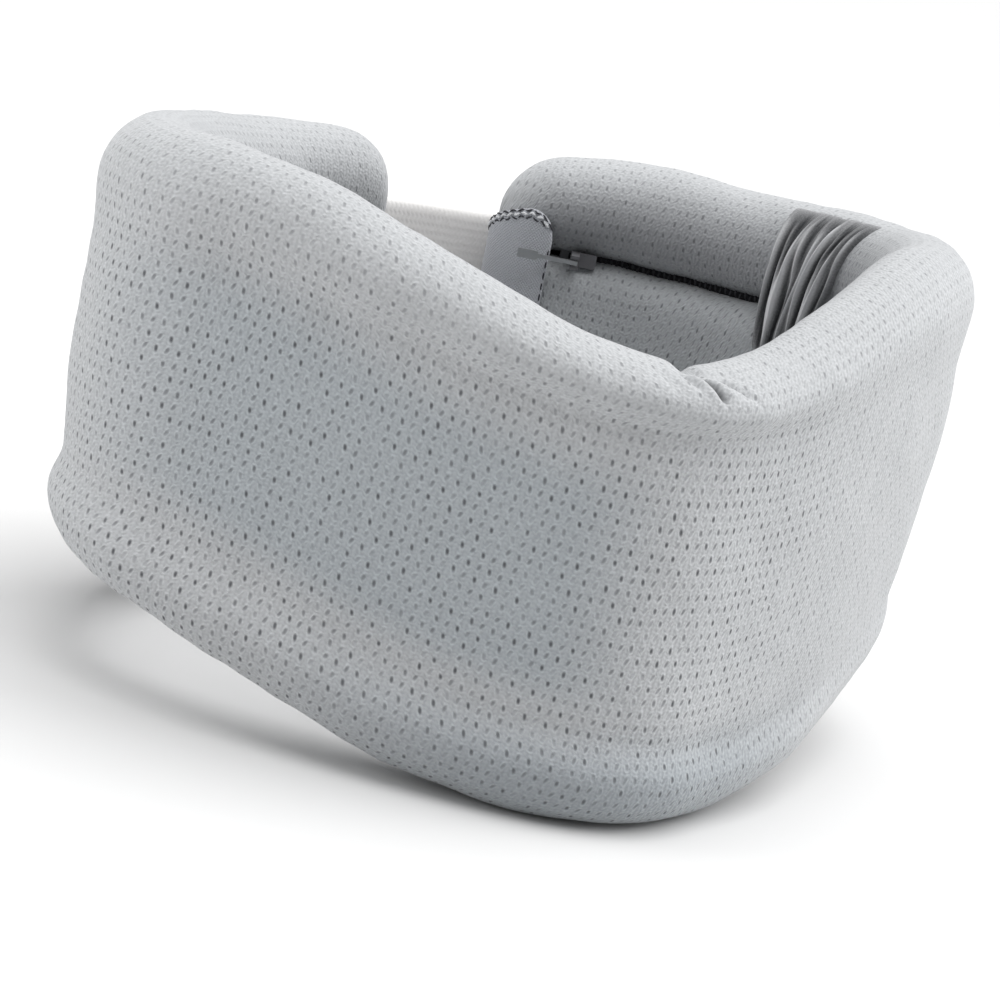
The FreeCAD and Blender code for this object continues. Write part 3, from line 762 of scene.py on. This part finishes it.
covers, linings = {}, {}
for side, cols in bodies.items():
    for kind, rows in (("cover", slice(0, seam + 1)), ("lining", slice(seam, band.rows))):
        part = (cols, rows)
        extra = {"inner_painted_shade": inner_painted_shade[part], "panel": panel[part], "crease": crease[part],
                 "faint": faint[part]}
        obj = mesh_from_grid(f"{kind}_{side}", band.points[part], U[part], band.v[part], extra,
                             keep[part])
        obj.data.materials.append(COVER if kind == "cover" else LINING)
        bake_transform(obj)
        (covers if kind == "cover" else linings)[side] = obj
for side in ("left", "right"):
    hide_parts(f"{side}_cover", f"{side}_top_roll", f"{side}_bottom_roll",
                f"{side}_core_pad", f"{side}_support_plate", f"{side}_end_gusset",
                "front_cover", "front_top_roll", "front_bottom_roll", "front_core_pad",
                "front_support_plate")
    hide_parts(f"{side}_lining", "front_lining")


# ---------------------------------------------------------------- strap, tab, patches, thread

SOFT_EDGE = 0.35                           # how far a strip's edges are rounded


def strip(name, s, n, out_s, out_n, low, high, thick, rows):
    """A thin closed strip. Each column stands at (s, n) on its inner side and is thick along
    (out_s, out_n); low and high are its edges there."""
    columns = len(s)
    # the strip's own outline: outer face, rounded edges, inner face
    t = np.linspace(-1, 1, rows)
    around = np.concatenate([t, t[::-1]])
    face = np.concatenate([np.ones(rows), np.zeros(rows)])
    edge = np.clip((1 - np.abs(around)) / (2 * SOFT_EDGE / np.mean(high - low)), 0, 1)
    puff = thick * (0.5 + (face - 0.5) * (0.35 + 0.65 * np.sqrt(edge)))
    z = (low + high)[:, None] / 2 + (high - low)[:, None] / 2 * around[None, :]
    points = place(s[:, None] + out_s[:, None] * puff, n[:, None] + out_n[:, None] * puff, z)
    loop = 2 * rows
    faces = []
    for c in range(columns - 1):
        for r in range(loop):
            q = (r + 1) % loop
            faces.append((c * loop + r, c * loop + q, (c + 1) * loop + q, (c + 1) * loop + r))
    for c, flip in ((0, True), (columns - 1, False)):
        for r in range(rows - 1):
            a, b = c * loop + r, c * loop + r + 1
            d, e = c * loop + loop - 1 - r, c * loop + loop - 2 - r
            faces.append((a, d, e, b) if flip else (a, b, e, d))
    mesh = bpy.data.meshes.new(name)
    mesh.from_pydata((points.reshape(-1, 3) * MM).tolist(), [], faces)
    uv = mesh.uv_layers.new(name="UVMap")
    run = np.concatenate([[0.0], np.cumsum(np.hypot(np.diff(s), np.diff(n)))])
    uu = np.broadcast_to(run[:, None], z.shape).reshape(-1)
    index = np.zeros(len(mesh.loops), np.int32)
    mesh.loops.foreach_get("vertex_index", index)
    flat = np.stack([uu, z.reshape(-1)], -1)[index] * MM
    uv.data.foreach_set("uv", flat.astype(np.float32).ravel())
    # marks the outer face, which the strap's material colours with painted shade
    outer = mesh.attributes.new("outer", "FLOAT", "POINT")
    outer.data.foreach_set("value", np.tile(face, columns).astype(np.float32))
    mesh.shade_smooth()
    return add_object(name, mesh)


def slab(name, s0, s1, low, high, inner, thick, columns, rows, corner=0.0):
    """A strip that follows the band, with its far corners rounded."""
    s = np.linspace(s0, s1, columns)
    n0 = inner(s) if callable(inner) else np.full_like(s, float(inner))
    cut = np.zeros_like(s)
    if corner:
        t = np.clip(1 - np.abs(s1 - s) / corner, 0, 1)
        cut = corner * (1 - np.sqrt(1 - t * t))
    return strip(name, s, n0, np.zeros_like(s), np.ones_like(s), low + cut, high - cut, thick, rows)


def tubes(name, lines, radius):
    """Short rounded strands, each along its own line of points in millimetres."""
    sides = 6
    verts, faces = [], []
    for line in lines:
        line = np.asarray(line, float)
        count = len(line)
        tangent = np.gradient(line, axis=0)
        tangent /= np.linalg.norm(tangent, axis=1, keepdims=True)
        helper = np.array([0.3, 0.2, 0.93])
        a = np.cross(tangent, helper)
        a /= np.linalg.norm(a, axis=1, keepdims=True)
        b = np.cross(tangent, a)
        t = np.linspace(-1, 1, count)
        r = radius * np.sqrt(np.clip(1 - t ** 4, 0.05, 1))
        base = len(verts)
        for i in range(count):
            for k in range(sides):
                w = 2 * math.pi * k / sides
                verts.append(line[i] + r[i] * (math.cos(w) * a[i] + math.sin(w) * b[i]))
        for i in range(count - 1):
            for k in range(sides):
                q = (k + 1) % sides
                faces.append((base + i * sides + k, base + i * sides + q,
                              base + (i + 1) * sides + q, base + (i + 1) * sides + k))
        faces.append(tuple(base + k for k in reversed(range(sides))))
        faces.append(tuple(base + (count - 1) * sides + k for k in range(sides)))
    mesh = bpy.data.meshes.new(name)
    mesh.from_pydata([list(v * MM) for v in verts], [], faces)
    mesh.shade_smooth()
    return add_object(name, mesh)


def stitch_lines(path, length, gap, lift):
    """Stitches along a path of (s, n, z) points: each dips into the fabric at both ends."""
    path = np.asarray(path, float)
    steps = np.linalg.norm(np.diff(path, axis=0), axis=1)
    at = np.concatenate([[0], np.cumsum(steps)])
    lines = []
    start = 0.0
    while start + length <= at[-1]:
        d = start + length * np.linspace(0, 1, 5)
        p = np.stack([np.interp(d, at, path[:, k]) for k in range(3)], axis=-1)
        p[:, 1] += lift * np.array([-1.0, 0.2, 0.5, 0.2, -1.0])
        lines.append(place(p[:, 0], p[:, 1], p[:, 2]))
        start += length + gap
    return lines


def strap_inner(s):
    """The strap's inner face: further out over the left arm than on the right."""
    return STRAP_INNER + STRAP_LIFT * ease((s - ARM_END) / END_GAP)


strap = slab("strap", SEWN_START, FREE_END, STRAP_LOW, STRAP_HIGH, strap_inner, STRAP_THICK,
             86, 30, corner=4.0)
strap.data.materials.append(STRAP)
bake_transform(strap)
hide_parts("strap_anchor", "strap_web")

hook = slab("hook_field", PATCH_START, FREE_END - 2, STRAP_LOW + 3, STRAP_HIGH - 3,
            lambda s: strap_inner(s) - PATCH_THICK, PATCH_THICK, 30, 20)
hook.data.materials.append(HOOK)
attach(hook, "strap")
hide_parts("hook_patch")

loop_start, loop_end = -(ARM_END - 58), -(ARM_END - END_ROUND - 1)
pile = slab("loop_patch_pile", loop_start, loop_end, STRAP_LOW + 2, STRAP_HIGH - 2,
            HALF_THICK - 0.3, PATCH_THICK + 0.5, 34, 24)
pile.data.materials.append(LOOP)
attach(pile, "left_arm")
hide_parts("loop_patch")


def frame_path(s0, s1, low, high, face):
    """A rectangle round a patch, as (s, n, z) points close together."""
    corners = [(s0, low), (s1, low), (s1, high), (s0, high), (s0, low)]
    path = []
    for (sa, za), (sb, zb) in zip(corners, corners[1:]):
        for t in np.linspace(0, 1, 20):
            s = sa + (sb - sa) * t
            path.append((s, float(np.ravel(face(np.array([s])))[0]), za + (zb - za) * t))
    return path


def outer_face(s):
    """Where the strap's stitches lie."""
    return strap_inner(s) + STRAP_THICK + 0.1


def ride_thread(name, lines, body, node, radius=0.3, material=THREAD):
    """Stitches that ride on a body, and replace a CAD node if one is named."""
    obj = tubes(name, lines, radius)
    obj.data.materials.append(material)
    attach(obj, body)
    if node:
        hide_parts(node)


ride_thread("anchor_thread",
            stitch_lines(frame_path(SEWN_START + 3, SEWN_END - 3, STRAP_LOW + 4, STRAP_HIGH - 4,
                                    outer_face), 2.6, 1.2, 0.3), "right_arm", "anchor_stitching")
ride_thread("patch_thread",
            stitch_lines(frame_path(PATCH_START + 3, FREE_END - 4, STRAP_LOW + 4, STRAP_HIGH - 4,
                                    outer_face), 2.6, 1.2, 0.3), "strap", "patch_stitching")
ride_thread("loop_thread",
            stitch_lines(frame_path(loop_start + 2, loop_end - 2, STRAP_LOW + 3.5,
                                    STRAP_HIGH - 3.5, lambda s: 0 * s + HALF_THICK + 0.95),
                         2.6, 1.4, 0.25), "left_arm", "loop_patch_stitching", 0.22)

tip_start = FREE_END + PIVOT_GAP
tip = slab("pull_tip", tip_start, tip_start + TIP_LENGTH, TIP_LOW, TIP_HIGH, strap_inner,
           STRAP_THICK, 24, 22, corner=5.0)
tip.data.materials.append(RUBBER)
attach(tip, "strap_tip")
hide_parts("strap_tip")

# End tab: a patch laid over the inner face of the right arm's end and wrapped round it
TAB_FROM, TAB_WRAP = 6.0, 128.0
TAB_REACH = math.radians(TAB_WRAP - TAB_FROM) * (END_ROUND + HALF_THICK) / 2


def tab_path(lift, w):
    """(s, n) and outward direction along the tab, at distances w from its free edge."""
    angle = np.radians(TAB_FROM + w / TAB_REACH * (TAB_WRAP - TAB_FROM))
    s = ROUND_START + (END_ROUND + lift) * np.sin(angle)
    n = -(HALF_THICK + lift) * np.cos(angle)
    return s, n, np.sin(angle), -np.cos(angle)


def tab_high(w):
    """The tab's upper edge: rounded at its free corner, lower round the arm's end."""
    corner = np.clip(1 - w / 6.5, 0, 1)
    turn = np.clip(w / TAB_REACH, 0, 1)
    dip = 6.5 * (1 - np.sqrt(1 - corner ** 2))
    return TOP_END - TAB_TOP_DROP + 0.5 - dip - 9.0 * turn ** 1.5


w = np.linspace(0, TAB_REACH, 44)
s, n, out_s, out_n = tab_path(0.25, w)
tab = strip("end_tab", s, n, out_s, out_n, np.full_like(w, TAB_LOW), tab_high(w), 0.9, 40)
tab.data.materials.append(TAB)
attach(tab, "right_arm")
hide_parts("right_end_tab")

# its bound edge: wavy rows of dark and light thread over the top, one dark row down the side
def tab_row(distances, depth, wave):
    """(s, n, z) points of a row at that depth below the tab's upper edge."""
    x = np.asarray(distances)
    z = tab_high(x) - depth + wave * np.sin(x * 2.9)
    s, n, _, _ = tab_path(1.18, x)
    return np.stack([s, n, z], axis=-1)


side_z = np.arange(TAB_LOW + 1, TOP_END - TAB_TOP_DROP - 6.5, 0.8)
side_s, side_n, _, _ = tab_path(1.18, np.full_like(side_z, 0.35))
side_row = np.stack([side_s, side_n, side_z], axis=-1)
over = np.linspace(0.35, TAB_REACH - 1, 160)
dark_rows = stitch_lines(side_row, 1.5, 0.7, 0.12)
dark_rows += stitch_lines(tab_row(over, 0.3, 0.18), 2.0, 0.2, 0.12)
dark_rows += stitch_lines(tab_row(over[12:], 1.75, 0.25), 1.6, 0.35, 0.12)
light_rows = stitch_lines(tab_row(over[6:], 1.05, 0.22), 1.8, 0.25, 0.16)
ride_thread("overlock_light", light_rows, "right_arm", "right_tab_stitching", 0.30)
ride_thread("overlock_dark", dark_rows, "right_arm", None, 0.20, THREAD_DARK)

# Gathered fabric in the inner bend of each arm, from the ridge over the groove to the pillow:
# place across the patch, height in mm and width of each fold
FOLDS = ((0.07, 1.9, 0.034), (0.17, 1.0, 0.030), (0.27, 2.1, 0.045), (0.39, 1.2, 0.028),
         (0.48, 1.8, 0.040), (0.60, 2.1, 0.036), (0.69, 1.1, 0.030), (0.79, 1.9, 0.040),
         (0.92, 1.3, 0.036))


GUSSET_START, GUSSET_TOP_WIDE, GUSSET_LOW_WIDE = 132.6, 24.0, 14.0


def gusset(side):
    """The gathered patch of one arm: folds fan down over the roll and die out at its borders."""
    sign = 1 if side == "right" else -1
    columns, rows = 150, 60
    p, q = np.meshgrid(np.linspace(0, 1, columns), np.linspace(0, 1, rows), indexing="ij")
    high_s, low_s = GUSSET_START - GUSSET_TOP_WIDE * p, GUSSET_START - GUSSET_LOW_WIDE * p
    s = high_s + (low_s - high_s) * ease(q) + 0.35 * np.sin(9 * q + 14 * p)
    tall, middle = (top(s) - groove(s)) / 2, (top(s) + groove(s)) / 2
    raised = np.zeros_like(p)
    for at, lift, width in FOLDS:
        line = at + 0.020 * np.sin(5 * q + 25 * at) + 0.05 * (q - 0.5) * math.sin(40 * at)
        strength = 0.75 + 0.35 * np.sin(7 * q + 60 * at)
        raised += lift * strength * np.exp(-(np.abs((p - line) / width) ** 1.5))
    raised += 0.16 * np.sin(90 * p + 8 * q) * np.sin(11 * q + 15 * p)
    raised = np.clip(raised, 0, 2.3) * (0.12 + 0.88 * ease(q / 0.28))
    tucked = ease(p / 0.05) * ease((1 - p) / 0.05) * ease(q / 0.10) * ease((1 - q) / 0.08)
    off = -0.9 + tucked * (1.0 + raised)
    # it starts on the ridge on the right, and lower on the left, where the photograph hides it
    share, first, reach = (0.45, 75, 10.0) if sign > 0 else (0.30, 40, 15.0)
    angle = np.radians(first * (1 - np.clip(q / share, 0, 1)))
    down = np.clip((q - share) / (1 - share), 0, 1)
    n = -(HALF_THICK + 0.1 + off) * np.cos(angle)
    z = middle + (tall + off) * np.sin(angle) - (middle - groove(s) + reach) * down
    points = place(sign * s, n, z)
    if sign < 0:
        points = points[::-1]
        raised = raised[::-1]
    # painted shade: the folds' valleys are coloured darker than their ridges
    tone = np.clip(raised / 1.9, 0, 1)
    border = ease(p / 0.08) * ease((1 - p) / 0.06) * ease((q - 0.04) / 0.20) * ease((1 - q) / 0.12)
    tone = 0.55 + (tone - 0.55) * (0.25 + 0.75 * (border if sign > 0 else border[::-1]))
    obj = mesh_from_grid(f"gusset_{side}", points, p * 30.0, q * 34.0, {"raised": tone})
    obj.data.materials.append(GUSSET)
    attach(obj, f"{side}_arm")
    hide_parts(f"{side}_cover")


for side in ("left", "right"):
    gusset(side)

# Zip: woven tape, coil teeth, slider and pull
ZIP_START = BACK_START - 4.0
ZIP_END = ARM_END - TAB_LENGTH - 1.0
for node, material in (("zip_tape", TAPE), ("zip_stops", DARK_METAL),
                       ("zip_slider", DARK_METAL), ("zip_pull", METAL)):
    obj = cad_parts[node]
    obj.data.materials.clear()
    obj.data.materials.append(material)
TOOTH_PITCH, STOP_ROOM = 1.15, 2.2
teeth = []
for i in range(int((ZIP_END - ZIP_START - 2 * STOP_ROOM) / TOOTH_PITCH)):
    s = ZIP_START + STOP_ROOM + (i + 0.5) * TOOTH_PITCH
    side = 1 if i % 2 else -1
    t = np.linspace(-1, 1, 6)
    z = float(groove(s)) + side * 0.15 + 0.75 * t
    teeth.append(place(s + 0.12 * t * side, -3.65 - 0.3 * (1 - t * t), z))
coil = tubes("zip_teeth", teeth, 0.27)
coil.data.materials.append(COIL)
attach(coil, "right_arm")
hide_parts("zip_coil")

# ---------------------------------------------------------------- room, light and camera

floor_mesh = bpy.data.meshes.new("floor")
floor_mesh.from_pydata([(-9, -9, 0), (9, -9, 0), (9, 9, 0), (-9, 9, 0)], [], [(0, 1, 2, 3)])
floor = add_object("floor", floor_mesh)
floor.location.z = -0.0003
m = Nodes("floor_paper")
floor_mesh.materials.append(m.finish((0.66, 0.66, 0.66, 1.0), 0.95, specular=0.1))

world = bpy.data.worlds.new("studio")
bpy.context.scene.world = world
world.use_nodes = True
world.node_tree.nodes["Background"].inputs[0].default_value = (1.0, 1.0, 1.0, 1.0)
world.node_tree.nodes["Background"].inputs[1].default_value = 0.33


def lamp(name, kind, place_at, aim, power, size):
    """A light at a place, turned to face its aim: a soft sun or a softbox."""
    light = bpy.data.lights.new(name, kind)
    if kind == "SUN":
        light.angle = math.radians(size)
    else:
        light.shape = "RECTANGLE"
        light.size, light.size_y = size
    light.energy = power
    obj = add_object(name, light)
    obj.location = place_at
    obj.rotation_euler = (Vector(aim) - Vector(place_at)).to_track_quat("-Z", "Y").to_euler()
    return obj


CENTRE = (0.0, 0.0, 0.05)
lamp("overhead", "SUN", (0.34, -0.06, 1.0), CENTRE, 4.0, 80)
lamp("side_right", "AREA", (1.1, -0.35, 0.45), CENTRE, 5.0, (0.8, 0.8))
lamp("side_left", "AREA", (-1.1, 0.35, 0.45), CENTRE, 8.0, (0.8, 0.8))

# Camera: distance, elevation, turn and roll of the view, aimed near the collar's middle
TARGET = Vector((-0.00085, -0.0014, 0.03626))
DISTANCE = 0.557
FOCAL_LENGTH, SENSOR_WIDTH = 109.08, 36.0      # millimetres
ELEVATION, YAW, ROLL = math.radians(13.75), math.radians(-22.93), math.radians(11.56)
back = Vector((math.sin(YAW) * math.cos(ELEVATION), -math.cos(YAW) * math.cos(ELEVATION),
               math.sin(ELEVATION)))
right = (-back).cross(Vector((0, 0, 1))).normalized()
up = right.cross(-back)
across = math.cos(ROLL) * right + math.sin(ROLL) * up
upward = -math.sin(ROLL) * right + math.cos(ROLL) * up
camera_data = bpy.data.cameras.new("camera")
camera = add_object("camera", camera_data)
camera_data.sensor_width = SENSOR_WIDTH
camera_data.lens = FOCAL_LENGTH
camera_data.clip_start, camera_data.clip_end = 0.01, 20.0
rotation = Matrix((across, upward, back)).transposed().to_4x4()
camera.matrix_world = Matrix.Translation(TARGET + back * DISTANCE) @ rotation
bpy.context.scene.camera = camera
bpy.context.scene.view_settings.view_transform = "Standard"
